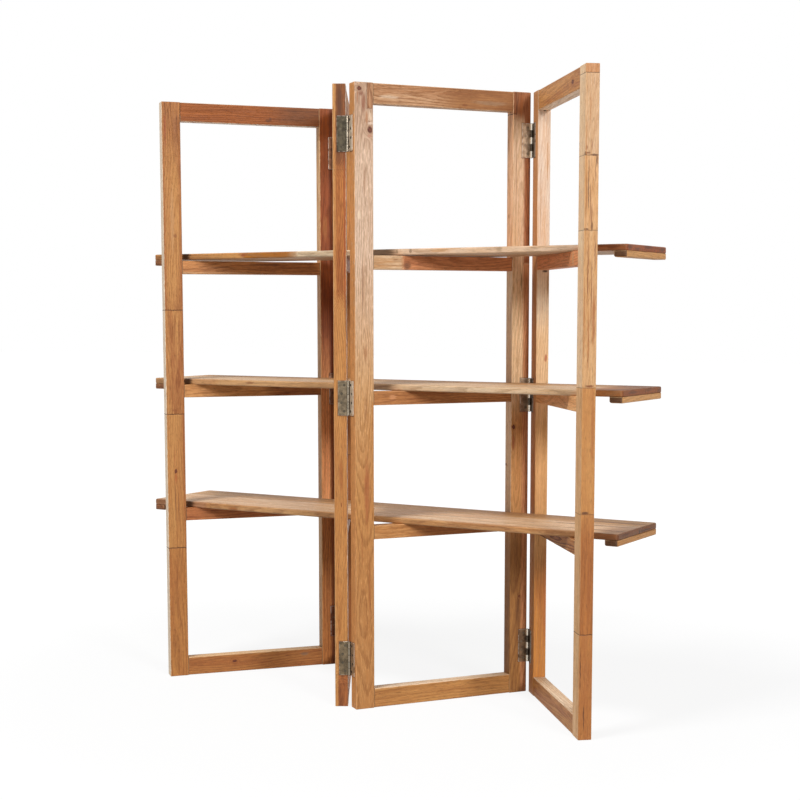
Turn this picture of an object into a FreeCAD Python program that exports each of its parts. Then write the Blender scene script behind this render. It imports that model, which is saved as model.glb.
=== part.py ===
import FreeCAD, Part
import math
import os

os.makedirs("parts", exist_ok=True)

# A folding bookcase: four identical wooden frames, hinged edge to edge like a screen, stand in a zigzag,
# and three loose boards run through all four frames and rest on their rails.
# Millimetres and degrees. X runs along the boards, Y to the rear, Z up from the floor.
# The origin is on the floor, in the middle of the whole object.

# Frames, named a to d from left to right.
FRAME_HEIGHT = 1800.0
FRAME_WIDTH = 562.0
STILE_WIDTH = 58.0
STILE_DEPTH = 38.0
END_RAIL_HEIGHT = 58.0
SHELF_RAIL_HEIGHT = 40.0
RAIL_SETBACK = 1.0
EDGE_EASE = 2.0
TENON_DEPTH = 12.0
TENON_SHOULDER = 6.0
MORTISE_BOTTOM_GAP = 1.0
MORTISE_TO_SCREW = 3.0

# Tops of the rails that carry the three boards, and the two rails that are fitted a little lower,
# so that the upper board bears on frames b and d and leaves a slit of light over these two.
SHELF_LEVELS = {"lower": 540.0, "middle": 930.0, "upper": 1320.0}
FITTED_LOW = {"a_upper": 5.0, "c_upper": 2.0}

# How far each frame is turned from the line of the boards when the bookcase stands open.
FRAME_TURN = {"a": 50.0, "b": -58.8, "c": 54.5, "d": -50.0}

# Boards, each with a batten under either end that keeps it from sliding out of the frames.
SHELF_THICKNESS = 18.0
SHELF_TO_STILE = 1.5
SHELF_PAST_FRAME_A = 82.0
SHELF_PAST_FRAME_D = 38.0
SHELF_CORNER_ROUND = 8.0
SHELF_EDGE_ROUND = 4.0
BATTEN_WIDTH = 38.0
BATTEN_HEIGHT = 17.0
BATTEN_CORNER_ROUND = 8.0
BATTEN_EDGE_ROUND = 5.0

# The boards lie loose. This is how far each one has slid along, towards frame d.
SHELF_SLIDE = {"lower": 0.0, "middle": 8.0, "upper": 15.0}

# Butt hinges, three to each line.
HINGE_HEIGHT = 100.0
HINGE_KNUCKLES = 5
HINGE_TOP_TO_FRAME_TOP = 90.0
HINGE_MIDDLE_CENTRE = 910.0
HINGE_BOTTOM_TO_FLOOR = 95.0
BARREL_DIAMETER = 8.5
PIN_DIAMETER = 4.5
PIN_CLEARANCE = 0.05
KNUCKLE_END_GAP = 0.2
KNUCKLE_SIDE_GAP = 0.4
PIN_DOME = 1.2
LEAF_THICKNESS = 2.0
LEAF_WIDTH = 30.0
LEAF_CORNER_ROUND = 2.0
LEAF_EDGE_EASE = 0.4
STILE_GAP = 2.0

# Countersunk wood screws, four to each leaf, in a zigzag.
SCREW_NEAR_ROW = 12.0
SCREW_FAR_ROW = 20.0
SCREW_OUTER_HEIGHT = 38.0
SCREW_INNER_HEIGHT = 13.0
SCREW_LENGTH = 18.0
SCREW_POINT = 4.0
SHANK_DIAMETER = 4.0
HEAD_DIAMETER = 8.0
SCREW_CLEARANCE = 0.05
RECESS_LENGTH = 4.4
RECESS_WIDTH = 0.9
RECESS_DEPTH = 0.9

BARREL_RADIUS = BARREL_DIAMETER / 2
BORE_RADIUS = PIN_DIAMETER / 2 + PIN_CLEARANCE
SWING_RADIUS = BARREL_RADIUS + KNUCKLE_SIDE_GAP
TENON_LENGTH = STILE_WIDTH - SCREW_FAR_ROW - SHANK_DIAMETER / 2 - MORTISE_TO_SCREW
UP = FreeCAD.Vector(0, 0, 1)
X_WAY = FreeCAD.Vector(1, 0, 0)
Y_WAY = FreeCAD.Vector(0, 1, 0)

# How closely an edge must follow an axis, and lie on a face, to be picked for rounding.
PARALLEL = 0.999
ON_FACE = 0.01


def box(x0, x1, y0, y1, z0, z1):
    return Part.makeBox(x1 - x0, y1 - y0, z1 - z0, FreeCAD.Vector(x0, y0, z0))


def edges_along(shape, axis):
    """The straight edges of a box that run along X, Y or Z."""
    found = []
    for edge in shape.Edges:
        direction = edge.tangentAt(edge.FirstParameter)
        if abs(direction.dot(axis)) > PARALLEL:
            found.append(edge)
    return found


def save(name, solids):
    """One STEP file per node: a single solid, or a group of separate identical ones."""
    shape = solids[0] if len(solids) == 1 else Part.makeCompound(solids)
    shape.exportStep("parts/" + name + ".step")
    print(name, len(solids), "solid(s)", round(sum(s.Volume for s in solids)), "mm3")


# Frame geometry, in the frame's own coordinates: x from its left edge, y from its front face to the rear.


def rail_levels(frame):
    """Bottom and top of every rail of a frame."""
    levels = {
        "bottom_rail": (RAIL_SETBACK, END_RAIL_HEIGHT),
        "top_rail": (FRAME_HEIGHT - END_RAIL_HEIGHT, FRAME_HEIGHT - RAIL_SETBACK),
    }
    for shelf, level in SHELF_LEVELS.items():
        top = level - FITTED_LOW.get(frame + "_" + shelf, 0)
        levels[shelf + "_shelf_rail"] = (top - SHELF_RAIL_HEIGHT, top)
    return levels


def tenon_box(z0, z1, extra):
    """The bar that a rail's two tenons are the ends of. Extra length makes the mortises for it."""
    reach = TENON_LENGTH + extra
    y0 = (STILE_DEPTH - TENON_DEPTH) / 2
    return box(
        STILE_WIDTH - reach, FRAME_WIDTH - STILE_WIDTH + reach,
        y0, y0 + TENON_DEPTH,
        z0 + TENON_SHOULDER, z1 - TENON_SHOULDER,
    )


def make_rail(z0, z1):
    body = box(
        STILE_WIDTH, FRAME_WIDTH - STILE_WIDTH,
        RAIL_SETBACK, STILE_DEPTH - RAIL_SETBACK,
        z0, z1,
    )
    body = body.makeFillet(EDGE_EASE, edges_along(body, X_WAY))
    return body.fuse(tenon_box(z0, z1, 0)).removeSplitter()


def make_stile(frame, x0, screw_holes):
    """An upright with its edges eased, mortised for the five rails and drilled for its hinge screws."""
    stile = box(x0, x0 + STILE_WIDTH, 0, STILE_DEPTH, 0, FRAME_HEIGHT)
    stile = stile.makeFillet(EDGE_EASE, stile.Edges)
    cutters = [tenon_box(z0, z1, MORTISE_BOTTOM_GAP) for z0, z1 in rail_levels(frame).values()]
    return stile.cut(cutters + screw_holes)


# Hinge geometry, in the hinge's own coordinates: its axis is Z, its leaf runs along x,
# and the face that it is screwed to lies one barrel radius below the axis, at y = -BARREL_RADIUS.


def hinge_centres():
    return {
        "bottom": HINGE_BOTTOM_TO_FLOOR + HINGE_HEIGHT / 2,
        "middle": HINGE_MIDDLE_CENTRE,
        "top": FRAME_HEIGHT - HINGE_TOP_TO_FRAME_TOP - HINGE_HEIGHT / 2,
    }


def screw_spots():
    return [
        (SCREW_NEAR_ROW, -SCREW_OUTER_HEIGHT),
        (SCREW_FAR_ROW, -SCREW_INNER_HEIGHT),
        (SCREW_FAR_ROW, SCREW_INNER_HEIGHT),
        (SCREW_NEAR_ROW, SCREW_OUTER_HEIGHT),
    ]


def screw_body(x, z, clearance):
    """Countersunk head, shank and point, driven along -y. Clearance makes the hole for it."""
    face = -BARREL_RADIUS + LEAF_THICKNESS
    into = FreeCAD.Vector(0, -1, 0)
    shank = SHANK_DIAMETER / 2 + clearance
    head = HEAD_DIAMETER / 2 + clearance
    straight = SCREW_LENGTH - LEAF_THICKNESS - SCREW_POINT
    under_head = FreeCAD.Vector(x, face - LEAF_THICKNESS, z)
    tip_start = under_head + into * straight
    solid = Part.makeCone(head, shank, LEAF_THICKNESS, FreeCAD.Vector(x, face, z), into)
    solid = solid.fuse(Part.makeCylinder(shank, straight, under_head, into))
    return solid.fuse(Part.makeCone(shank, 0, SCREW_POINT, tip_start, into)).removeSplitter()


def make_screw(x, z):
    face = -BARREL_RADIUS + LEAF_THICKNESS
    long_half = RECESS_LENGTH / 2
    wide_half = RECESS_WIDTH / 2
    across = box(x - long_half, x + long_half, face - RECESS_DEPTH, face, z - wide_half, z + wide_half)
    upright = box(x - wide_half, x + wide_half, face - RECESS_DEPTH, face, z - long_half, z + long_half)
    return screw_body(x, z, 0).cut([across, upright])


def knuckle_span(index):
    length = HINGE_HEIGHT / HINGE_KNUCKLES
    z0 = -HINGE_HEIGHT / 2 + index * length
    return z0, z0 + length


def make_plate(half):
    """A leaf's flat plate, with its two far corners rounded and the edges of its open face eased."""
    back = -BARREL_RADIUS
    face = back + LEAF_THICKNESS
    plate = box(0, LEAF_WIDTH, back, face, -half, half)
    corners = [edge for edge in edges_along(plate, Y_WAY) if edge.CenterOfMass.x > 0]
    plate = plate.makeFillet(LEAF_CORNER_ROUND, corners)
    rim = []
    for edge in plate.Edges:
        reach = edge.BoundBox
        if reach.YMin > face - ON_FACE and reach.XMax > ON_FACE:
            rim.append(edge)
    return plate.makeChamfer(LEAF_EDGE_EASE, rim)


def make_leaf(first_knuckle):
    """A leaf holds every second knuckle: the outer ones from 0, the inner ones from 1."""
    half = HINGE_HEIGHT / 2
    leaf = make_plate(half)
    for index in range(HINGE_KNUCKLES):
        z0, z1 = knuckle_span(index)
        base = FreeCAD.Vector(0, 0, z0)
        if index % 2 == first_knuckle:
            low = z0 if index == 0 else z0 + KNUCKLE_END_GAP / 2
            high = z1 if index == HINGE_KNUCKLES - 1 else z1 - KNUCKLE_END_GAP / 2
            base = FreeCAD.Vector(0, 0, low)
            leaf = leaf.fuse(Part.makeCylinder(BARREL_RADIUS, high - low, base, UP))
        else:
            leaf = leaf.cut(Part.makeCylinder(SWING_RADIUS, z1 - z0, base, UP))
    bore = Part.makeCylinder(BORE_RADIUS, HINGE_HEIGHT, FreeCAD.Vector(0, 0, -half), UP)
    holes = [screw_body(x, z, SCREW_CLEARANCE) for x, z in screw_spots()]
    return leaf.cut([bore] + holes).removeSplitter()


def make_pin():
    """A rod as long as the barrel, with a low dome at either end."""
    radius = PIN_DIAMETER / 2
    half = HINGE_HEIGHT / 2
    pin = Part.makeCylinder(radius, HINGE_HEIGHT, FreeCAD.Vector(0, 0, -half), UP)
    dome_radius = (radius ** 2 + PIN_DOME ** 2) / (2 * PIN_DOME)
    for end in (-1, 1):
        centre = FreeCAD.Vector(0, 0, end * (half + PIN_DOME - dome_radius))
        cap = Part.makeSphere(dome_radius, centre)
        z0, z1 = sorted((end * half, end * (half + 2 * PIN_DOME)))
        pin = pin.fuse(cap.common(box(-radius, radius, -radius, radius, z0, z1)))
    return pin.removeSplitter()


def leaf_place(axis_x, axis_y, along, outward, centre):
    """Where a leaf goes on a frame: its hinge axis, the way it runs and the way its wood faces."""
    third = along.cross(outward)
    matrix = FreeCAD.Matrix(
        along.x, outward.x, third.x, axis_x,
        along.y, outward.y, third.y, axis_y,
        along.z, outward.z, third.z, centre,
        0, 0, 0, 1,
    )
    return FreeCAD.Placement(matrix)


# The far hinges lie on the front faces of two stiles, and fold those faces together.
# The near hinges lie on the outer edges, with their barrel behind the rear face, and fold the rear
# faces together.
HINGE_SEATS = {
    "far_right": (FRAME_WIDTH + STILE_GAP / 2, -BARREL_RADIUS, -X_WAY, -Y_WAY),
    "far_left": (-STILE_GAP / 2, -BARREL_RADIUS, X_WAY, -Y_WAY),
    "near_right": (FRAME_WIDTH + BARREL_RADIUS, STILE_DEPTH + BARREL_RADIUS, -Y_WAY, X_WAY),
    "near_left": (-BARREL_RADIUS, STILE_DEPTH + BARREL_RADIUS, -Y_WAY, -X_WAY),
}

# For each frame, the hinge line on its left and right stile. A leaf's first knuckle is 0 or 1.
FRAME_HINGES = {
    "a": {"right": ("a_b", "far_right", 1)},
    "b": {"left": ("a_b", "far_left", 0), "right": ("b_c", "near_right", 1)},
    "c": {"left": ("b_c", "near_left", 0), "right": ("c_d", "far_right", 0)},
    "d": {"left": ("c_d", "far_left", 1)},
}


def seat_point(seat):
    axis_x, axis_y, along, outward = HINGE_SEATS[seat]
    return FreeCAD.Vector(axis_x, axis_y, 0)


def turned(frame):
    return FreeCAD.Rotation(UP, FRAME_TURN[frame])


def hang(frame, seat, point):
    """A frame's placement that brings one of its hinge axes to a point on the floor plan."""
    rotation = turned(frame)
    return FreeCAD.Placement(point - rotation.multVec(seat_point(seat)), rotation)


def place_frames():
    """The four frames, chained at their hinge axes, starting at frame c."""
    places = {"c": FreeCAD.Placement(FreeCAD.Vector(0, 0, 0), turned("c"))}
    places["b"] = hang("b", "near_right", places["c"].multVec(seat_point("near_left")))
    places["a"] = hang("a", "far_right", places["b"].multVec(seat_point("far_left")))
    places["d"] = hang("d", "far_left", places["c"].multVec(seat_point("far_right")))
    return places


def plan_points(places, frames, left, right):
    """The plan corners of some frames between two distances from their left edges."""
    points = []
    for frame in frames:
        for x in (left, right):
            for y in (0, STILE_DEPTH):
                points.append(places[frame].multVec(FreeCAD.Vector(x, y, 0)))
    return points


def shelf_plan(places):
    """A board's outline before it slides: as wide as the stiles let through, and past the outer frames."""
    inner = plan_points(places, "abcd", STILE_WIDTH, FRAME_WIDTH - STILE_WIDTH)
    outer = plan_points(places, "abcd", 0, FRAME_WIDTH)
    middle = sum(point.y for point in inner) / len(inner)
    front = max(point.y for point in inner if point.y < middle) + SHELF_TO_STILE
    rear = min(point.y for point in inner if point.y > middle) - SHELF_TO_STILE
    left = min(point.x for point in outer) - SHELF_PAST_FRAME_A
    right = max(point.x for point in outer) + SHELF_PAST_FRAME_D
    return left, right, front, rear


def centre_on_origin(places):
    """Moves the frames so that the whole object stands centred on the origin."""
    left, right, front, rear = shelf_plan(places)
    outer = plan_points(places, "abcd", 0, FRAME_WIDTH)
    nearest = min(point.y for point in outer)
    furthest = max(point.y for point in outer)
    left += min(SHELF_SLIDE.values())
    right += max(SHELF_SLIDE.values())
    shift = FreeCAD.Vector(-(left + right) / 2, -(nearest + furthest) / 2, 0)
    for place in places.values():
        place.move(shift)


def make_frame(frame, place):
    """One frame's seven wooden members, with its hinge leaves and their screws."""
    holes = {"left": [], "right": []}
    screws = []
    for side, (line, seat, first_knuckle) in FRAME_HINGES[frame].items():
        axis_x, axis_y, along, outward = HINGE_SEATS[seat]
        for level, centre in hinge_centres().items():
            on_frame = leaf_place(axis_x, axis_y, along, outward, centre)
            leaf = make_leaf(first_knuckle)
            leaf.Placement = place.multiply(on_frame)
            save("hinge_" + line + "_" + level + "_leaf_on_" + frame, [leaf])
            for x, z in screw_spots():
                hole = screw_body(x, z, SCREW_CLEARANCE)
                hole.Placement = on_frame
                holes[side].append(hole)
                screw = make_screw(x, z)
                screw.Placement = place.multiply(on_frame)
                screws.append(screw)
    save("frame_" + frame + "_hinge_screws", screws)
    members = {
        "left_stile": make_stile(frame, 0, holes["left"]),
        "right_stile": make_stile(frame, FRAME_WIDTH - STILE_WIDTH, holes["right"]),
    }
    for name, (z0, z1) in rail_levels(frame).items():
        members[name] = make_rail(z0, z1)
    for name, solid in members.items():
        solid.Placement = place
        save("frame_" + frame + "_" + name, [solid])


def make_pins(line, place, seat):
    pins = []
    for centre in hinge_centres().values():
        pin = make_pin()
        spot = place.multVec(seat_point(seat))
        pin.translate(FreeCAD.Vector(spot.x, spot.y, centre))
        pins.append(pin)
    save("hinge_" + line + "_pins", pins)


def make_slab(plan, z0, z1):
    """A block with the boards' outline, whose four corners are rounded."""
    slab = box(*plan, z0, z1)
    return slab.makeFillet(SHELF_CORNER_ROUND, edges_along(slab, UP))


def make_board(plan, level):
    board = make_slab(plan, level, level + SHELF_THICKNESS)
    rims = [edge for edge in board.Edges if edge.BoundBox.ZLength < SHELF_THICKNESS / 2]
    return board.makeFillet(SHELF_EDGE_ROUND, rims)


def make_batten(x0, plan, level):
    """A strip under the board, flush with its outline, with its lower corners and edges rounded."""
    left, right, front, rear = plan
    x1 = x0 + BATTEN_WIDTH
    bottom = level - BATTEN_HEIGHT
    high = level + BATTEN_HEIGHT
    lengthways = box(x0, x1, front, rear, bottom, high)
    lengthways = lengthways.makeFillet(BATTEN_CORNER_ROUND, edges_along(lengthways, X_WAY))
    crossways = box(x0, x1, front, rear, bottom, high)
    crossways = crossways.makeFillet(BATTEN_EDGE_ROUND, edges_along(crossways, Y_WAY))
    strip = lengthways.common(crossways).common(make_slab(plan, bottom, high))
    return strip.common(box(left, right, front, rear, bottom, level)).Solids[0]


def make_shelf(shelf, level, plan):
    left, right, front, rear = plan
    slide = SHELF_SLIDE[shelf]
    slid = (left + slide, right + slide, front, rear)
    save(shelf + "_shelf_board", [make_board(slid, level)])
    ends = (left + slide, right + slide - BATTEN_WIDTH)
    save(shelf + "_shelf_end_battens", [make_batten(x0, slid, level) for x0 in ends])


def report(places, plan):
    """Prints what the record needs: hinge axes, the boards' pivot and outline, and the frames' feet."""
    for line, frame, seat in (("a_b", "b", "far_left"), ("b_c", "c", "near_left"), ("c_d", "c", "far_right")):
        print("axis", line, places[frame].multVec(seat_point(seat)))
    print("boards turn about", places["c"].multVec(FreeCAD.Vector(FRAME_WIDTH / 2, STILE_DEPTH / 2, 0)))
    print("board outline", [round(value, 3) for value in plan])
    for frame, place in places.items():
        for x in (0, FRAME_WIDTH - STILE_WIDTH):
            foot = place.multVec(FreeCAD.Vector(x + STILE_WIDTH / 2, STILE_DEPTH / 2, 0))
            print("foot", frame, round(x), round(foot.x, 3), round(foot.y, 3), "turned", FRAME_TURN[frame])


def main():
    places = place_frames()
    centre_on_origin(places)
    plan = shelf_plan(places)
    for frame, place in places.items():
        make_frame(frame, place)
    make_pins("a_b", places["b"], "far_left")
    make_pins("b_c", places["c"], "near_left")
    make_pins("c_d", places["c"], "far_right")
    for shelf, level in SHELF_LEVELS.items():
        make_shelf(shelf, level, plan)
    report(places, plan)


main()
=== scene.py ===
# %% [markdown]
# # A folding bookcase
# Four wooden frames, hinged edge to edge, stand in a zigzag, and three long loose boards lie through
# them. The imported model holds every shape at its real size. Modelling them again could break the
# moving parts, so this lesson is about finishes: old glued and oiled timber and dark pewter hinges.

# %% Load the model
import math

import bpy
from mathutils import Matrix, Vector


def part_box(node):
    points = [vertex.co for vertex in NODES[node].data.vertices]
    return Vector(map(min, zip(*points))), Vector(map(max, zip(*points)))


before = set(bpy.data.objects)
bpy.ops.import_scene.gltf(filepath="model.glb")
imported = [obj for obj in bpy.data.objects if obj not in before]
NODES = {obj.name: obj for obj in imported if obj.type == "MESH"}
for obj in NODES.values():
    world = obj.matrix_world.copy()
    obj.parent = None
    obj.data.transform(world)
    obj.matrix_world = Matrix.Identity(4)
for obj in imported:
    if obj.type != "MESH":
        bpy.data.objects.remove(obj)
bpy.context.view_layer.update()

# %% [markdown]
# ## Camera
# The bookcase is seen from a little right of its middle and below eye height, from nearly five metres
# away. The camera looks down by six degrees, so the uprights draw together a little towards the
# floor. Aiming it at the middle would change that, so the lens is shifted instead to frame them.

# %% Camera
EYE = Vector((2.4471, -4.0398, 1.1594))
HEADING = math.radians(120.566)
LOOK_DOWN = 0.10927
FOCAL_PIXELS = 1567.13
CENTRE_PIXEL = (408.39, 483.22)
PICTURE = 800
SENSOR = 36.0


def make_camera():
    lens = bpy.data.cameras.new("camera")
    lens.sensor_width = SENSOR
    lens.lens = FOCAL_PIXELS * SENSOR / PICTURE
    lens.shift_x = -(CENTRE_PIXEL[0] - PICTURE / 2) / PICTURE
    lens.shift_y = (CENTRE_PIXEL[1] - PICTURE / 2) / PICTURE
    camera = bpy.data.objects.new("camera", lens)
    camera.location = EYE
    camera.rotation_euler = (math.pi / 2 - LOOK_DOWN, 0, HEADING - math.pi / 2)
    bpy.context.scene.collection.objects.link(camera)
    bpy.context.scene.camera = camera
    print("camera", round(lens.lens, 2), "mm, shift", round(lens.shift_x, 4), round(lens.shift_y, 4))


make_camera()
bpy.context.scene.view_settings.view_transform = "Standard"

# %% [markdown]
# ## Shader maths as Python
# A wood finish is arithmetic on positions: how far is this point from the heart of the tree, from a
# knot, from the nearest edge? Nodes could be added one by one, but that is hard to read. One small
# class wraps a node's output, so that plus, minus, times and divided by add Math nodes.

# %% The wrapper class
MIX_FACTOR = 0
MIX_FIRST = 6
MIX_SECOND = 7
MIX_COLOUR = 2


class Shade:
    """One output of a shader node. Sums with it make new nodes in the same material."""

    def __init__(self, tree, socket=None):
        self.tree = tree
        self.socket = socket

    def node(self, kind, settings=None, inputs=None, output=0):
        made = self.tree.nodes.new(kind)
        for name, value in (settings or {}).items():
            setattr(made, name, value)
        for key, value in (inputs or {}).items():
            if isinstance(value, Shade):
                self.tree.links.new(value.socket, made.inputs[key])
            else:
                made.inputs[key].default_value = value
        return Shade(self.tree, made.outputs[output])

    def maths(self, operation, *values, clamp=False):
        settings = {"operation": operation, "use_clamp": clamp}
        return self.node("ShaderNodeMath", settings, dict(enumerate(values)))

    def vector(self, operation, *values, output=0):
        settings = {"operation": operation}
        return self.node("ShaderNodeVectorMath", settings, dict(enumerate(values)), output)

    def mix(self, factor, first, second, blend="MIX"):
        """A colour between two, each a Shade, a tone of three numbers or a linear one of four."""
        settings = {"data_type": "RGBA", "blend_type": blend}
        inputs = {MIX_FACTOR: factor, MIX_FIRST: linear(first), MIX_SECOND: linear(second)}
        return self.node("ShaderNodeMix", settings, inputs, MIX_COLOUR)

    def parts(self):
        """The three numbers of a vector."""
        split = self.node("ShaderNodeSeparateXYZ", None, {0: self})
        return [Shade(self.tree, split.socket.node.outputs[k]) for k in range(3)]

    def join(self, x, y, z):
        return self.node("ShaderNodeCombineXYZ", None, {0: x, 1: y, 2: z})

    def fade(self, start, end):
        """0 before start and 1 after end, smooth between them. Start may be the larger."""
        settings = {"interpolation_type": "SMOOTHSTEP"}
        inputs = {"Value": self, "From Min": start, "From Max": end}
        return self.node("ShaderNodeMapRange", settings, inputs)

    def __add__(self, other):
        return self.maths("ADD", self, other)

    __radd__ = __add__

    def __sub__(self, other):
        return self.maths("SUBTRACT", self, other)

    def __rsub__(self, other):
        return self.maths("SUBTRACT", other, self)

    def __mul__(self, other):
        return self.maths("MULTIPLY", self, other)

    __rmul__ = __mul__

    def __truediv__(self, other):
        return self.maths("DIVIDE", self, other)

    def __rtruediv__(self, other):
        return self.maths("DIVIDE", other, self)


# %% Materials and colours
def new_material(name):
    """An empty material, its Principled shader and a wrapper to build with."""
    material = bpy.data.materials.new(name)
    material.use_nodes = True
    tree = material.node_tree
    shader = tree.nodes["Principled BSDF"]
    return material, shader, Shade(tree)


def link(shader, name, value):
    shader.id_data.links.new(value.socket, shader.inputs[name])


def linear(colour):
    """The light that shaders use, of a tone in three numbers up to 255, as a screen shows it."""
    if isinstance(colour, Shade) or len(colour) == 4:
        return colour
    light = []
    for level in colour:
        part = level / 255
        light.append(part / 12.92 if part <= 0.04045 else ((part + 0.055) / 1.055) ** 2.4)
    return (*light, 1.0)


print("a mid grey is", round(linear((128, 128, 128))[0], 3), "in linear light")

# %% [markdown]
# ## Where a member stands
# Grain runs along each upright, rail and board, so a pattern needs the member's own directions. A UV
# map could give them, but it cuts the pattern at every edge, and a real knot goes round the corner.
# So a Mapping node set to Texture turns a room position into the frame's own: x across from its left
# edge, y from its front face to the rear, z up from the floor, all in millimetres.

# %% Frame coordinates
MM = 0.001
FRAME_WIDTH = 562
FRAME_HEIGHT = 1800
STILE = (58, 38)
RAIL_LENGTH = FRAME_WIDTH - 2 * STILE[0]


def middle_of(node):
    low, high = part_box(node)
    return (Vector(low) + Vector(high)) / 2


def frame_corner(letter):
    """A frame's heading, and the floor point under its left front corner."""
    left = middle_of(f"frame_{letter}_left_stile")
    right = middle_of(f"frame_{letter}_right_stile")
    heading = math.atan2(right.y - left.y, right.x - left.x)
    reach = Matrix.Rotation(heading, 3, "Z") @ Vector((STILE[0], STILE[1], 0)) * MM / 2
    return heading, Vector((left.x, left.y, 0)) - reach


def own_place(build, heading=0.0, corner=(0, 0, 0)):
    spot = build.node("ShaderNodeTexCoord", None, None, "Object")
    inputs = {"Vector": spot, "Location": corner, "Rotation": (0, 0, heading), "Scale": (MM, MM, MM)}
    return build.node("ShaderNodeMapping", {"vector_type": "TEXTURE"}, inputs)


FRAMES = {letter: frame_corner(letter) for letter in "abcd"}
for letter, (heading, corner) in FRAMES.items():
    print("frame", letter, "turned", round(math.degrees(heading), 1), [round(v, 3) for v in corner])

# %% [markdown]
# ## The timber
# The members are old hardwood. A flat picture of wood could be laid on them, but its grain would end
# at each edge. Sawn wood is a slice through nested cones, the yearly rings, so the pattern is a solid
# that the members cut through. The distance to a leaning heart line, folded by the ring width, gives
# arches near the heart and stripes further out, with a pale early and a dark late part in each ring.

# %% Timber colours
LIME = (240, 214, 184)
CREAM = (230, 188, 140)
SAND = (214, 170, 122)
ROSE = (226, 194, 164)
ASH = (212, 184, 150)
HONEY = (200, 142, 80)
AMBER = (182, 119, 62)
RUSSET = (160, 93, 46)
CHESTNUT = (128, 72, 37)
PITH = (140, 72, 40)
KNOT = (86, 38, 24)
UMBER = (94, 57, 36)
GLUE = (72, 42, 26)
# Near-black for cracks, slots and knuckle gaps, and also for painted shade and shadows.
SOOT_AND_SHADE = (54, 38, 27)


# %% Distances
def box_depth(place, low, high):
    """Distance to a box's nearest side: negative inside it, positive outside."""
    centre = [(a + b) / 2 for a, b in zip(low, high)]
    half = [(b - a) / 2 for a, b in zip(low, high)]
    away = place.vector("ABSOLUTE", place.vector("SUBTRACT", place, centre))
    x, y, z = place.vector("SUBTRACT", away, half).parts()
    return x.maths("MAXIMUM", x.maths("MAXIMUM", x, y), z)


def blob(place, spot, size):
    """Distance from a spot; 1 is the edge of an egg shape of that size."""
    away = place.vector("DIVIDE", place.vector("SUBTRACT", place, spot), size)
    return place.vector("LENGTH", away, output=1)


def arris_gap(axes, half):
    """Distances along the surface to the nearest edge of a member, and to its nearest end."""
    a, b, end = [size - axis.maths("ABSOLUTE", axis) for axis, size in zip(axes, half)]
    low = a.maths("MINIMUM", a, b)
    high = a.maths("MAXIMUM", a, b)
    return a.maths("MAXIMUM", low, a.maths("MINIMUM", high, end)), end


# %% [markdown]
# The drift of colour, strands, fibres, flecks and open pores are all longer along the grain. A
# Mapping node could stretch plain noise, but dividing each direction by the size of a patch says in
# millimetres how long and wide it gets.

# %% Noise along the grain
SEED_STEPS = (3.7, 1.0, 7.3)
RAGGED = (14, 3.0)
STREAKS = {
    "fibre": (1.9, 34, 0.0, 3.0), "broad": (24, 330, 2.0, 2.0), "strand": (4.2, 90, 4.0, 3.0),
    "pore": (1.1, 17, 6.0, 1.0), "fleck": (2.0, 24, 9.0, 2.0),
}


def streaks(build, axes, width, length, seed, detail, output=0):
    """Noise in patches of that width and length. Each seed is another piece of it."""
    across, through, along = axes
    x, y, z = [seed * step for step in SEED_STEPS]
    where = build.join(across / width + x, through / width + y, along / length + z)
    inputs = {"Vector": where, "Scale": 1.0, "Detail": detail}
    return build.node("ShaderNodeTexNoise", None, inputs, output)


def all_streaks(build, axes, seed):
    return {
        name: streaks(build, axes, width, length, seed + step, detail)
        for name, (width, length, step, detail) in STREAKS.items()
    }


def scatter(place, size, amount):
    """The place, pushed about by noise, so that lines drawn with it look cut by hand."""
    where = {"Vector": place, "Scale": 1 / size, "Detail": 1.0}
    push = place.node("ShaderNodeTexNoise", None, where, 1)
    push = place.vector("SUBTRACT", push, (0.5, 0.5, 0.5))
    return place.vector("ADD", place, place.vector("MULTIPLY", push, (amount, amount, amount)))


print("streaks:", *STREAKS)

# %% [markdown]
# Each length or strip that a member is glued from has its own colour and grain, and a thin dark line
# where two meet. They could be pieces of their own, but they are glued flush, so only the tone and
# the grain change at a box's side. A few boxes are no glued piece but painted light and shade.

# %% Blocks
SEAM_WIDTH = (1.7, 0.5)
BLOCK_SHIFT = (5.1, 3.3, 260.0)


def glue_up_and_paint_light(build, place, look):
    """The pale tone, dark tone, joint lines and shift of the grain, block by block."""
    light, dark = look["light"], look["dark"]
    seam = 0.0
    shift = 0.0
    for low, high, block_light, block_dark, soft, line, step in look["blocks"]:
        depth = box_depth(place, low, high)
        inside = depth.fade(soft, -soft)
        light = build.mix(inside, light, block_light)
        dark = build.mix(inside, dark, block_dark)
        shift = shift + inside * step
        if line:
            drawn = depth.maths("ABSOLUTE", depth).fade(*SEAM_WIDTH) * line
            seam = drawn.maths("MAXIMUM", seam, drawn)
    return light, dark, seam, shift


# %% Rings and knots
RING_WIDTH = 7.0
RING_SHIFT = 0.37
FIBRE_PUSH = 2.4
WANDER = 60
WANDER_PATCH = (120, 420)
KNOT_REACH = 3.2
KNOT_PUSH = 2.2


def heart_distance(build, axes, look):
    """Distance from the heart line, which wanders a little along the member."""
    drift = streaks(build, axes, *WANDER_PATCH, look["seed"], 1.0, 1).parts()
    aside = []
    for k in range(2):
        straight = axes[k] - look["heart"][k] - axes[2] * look["lean"][k]
        aside.append(straight + drift[k] * WANDER - WANDER / 2)
    return build.vector("LENGTH", build.join(*aside, 0.0), output=1)


def push_aside(radius, gaps, look):
    """Near a knot the rings bend round it."""
    for gap, (spot, size) in zip(gaps, look["knots"]):
        radius = radius + gap.fade(KNOT_REACH, 0.0) * size[0] * KNOT_PUSH
    return radius


def late_wood(radius, fibre, shift, look):
    """The dark part of each ring: it grows slowly and ends at once, as a summer does."""
    ring = (radius + fibre * FIBRE_PUSH) / look["ring"] + shift * RING_SHIFT
    ring = ring.maths("FRACT", ring)
    return ring.fade(0.35, 0.85) * ring.fade(1.0, 0.92)


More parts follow.
